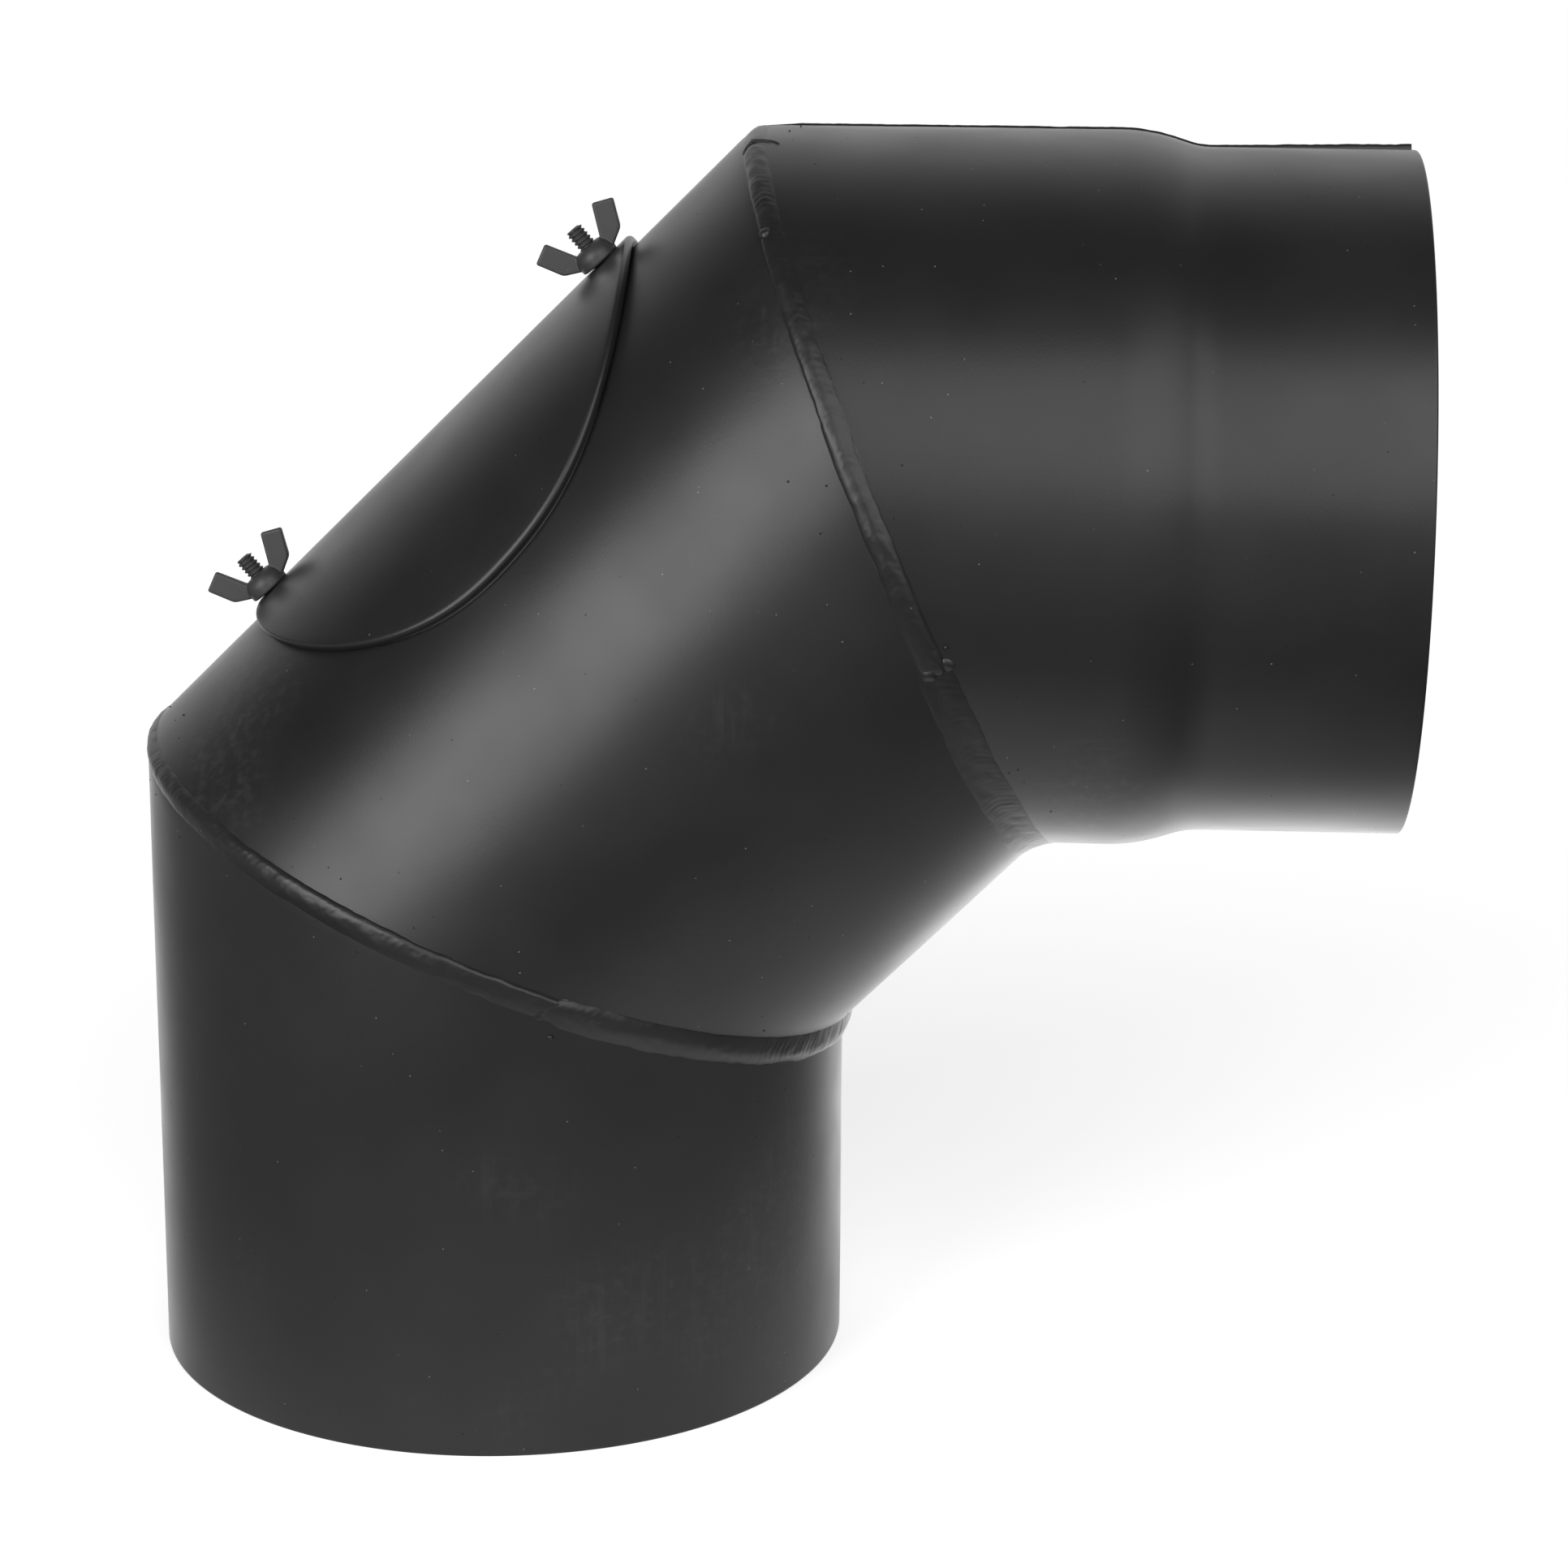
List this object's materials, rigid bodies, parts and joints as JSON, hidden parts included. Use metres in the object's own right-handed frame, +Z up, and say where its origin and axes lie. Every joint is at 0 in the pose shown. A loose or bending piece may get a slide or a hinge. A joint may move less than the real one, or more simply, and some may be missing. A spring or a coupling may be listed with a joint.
{
  "type": "stove pipe elbow with cleanout",
  "caption": "Mitred, welded right-angle smoke pipe elbow in black heat-resistant paint, with a curved cleanout cover held by wing nuts, a plain socket end and a reduced spigot end.",
  "frame": {"origin": "centre of the socket rim, at the bottom of the elbow", "axes": "+Z up the socket's axis into the elbow, +X out of the spigot, -Y is the front that the picture shows"},
  "size_m": [0.2753, 0.1562, 0.2749],
  "materials": {
    "pipe_paint": "satin black heat-resistant paint on steel",
    "weld_paint": "satin black heat-resistant paint over a weld bead",
    "hardware_paint": "satin black heat-resistant paint on fasteners",
    "gasket_fibre": "matt black graphite-coated fibre sheet"
  },
  "bodies": {
    "elbow": {"lower_segment": "pipe_paint", "middle_segment": "pipe_paint", "spigot_segment": "pipe_paint", "weld_lower": "weld_paint", "weld_upper": "weld_paint", "seam_lower": "weld_paint", "seam_middle": "weld_paint", "seam_spigot": "weld_paint", "stud_lower": "hardware_paint", "stud_upper": "hardware_paint"},
    "cover": {"cleanout_cover": "pipe_paint", "cover_gasket": "gasket_fibre"},
    "nut_lower": {"wing_nut_lower": "hardware_paint"},
    "nut_upper": {"wing_nut_upper": "hardware_paint"}
  },
  "joints": [
    {"name": "cover_lift", "type": "slide", "parent": "elbow", "child": "cover", "axis": [-0.6613, 0, 0.7501], "range_m": [0, 0.08]},
    {"name": "nut_lower_turn", "type": "hinge", "parent": "cover", "child": "nut_lower", "pos_m": [-0.04815, 0, 0.16934], "axis": [-0.6613, 0, 0.7501], "continuous": true},
    {"name": "nut_upper_turn", "type": "hinge", "parent": "cover", "child": "nut_upper", "pos_m": [0.02539, 0, 0.24288], "axis": [-0.6613, 0, 0.7501], "continuous": true}
  ]
}
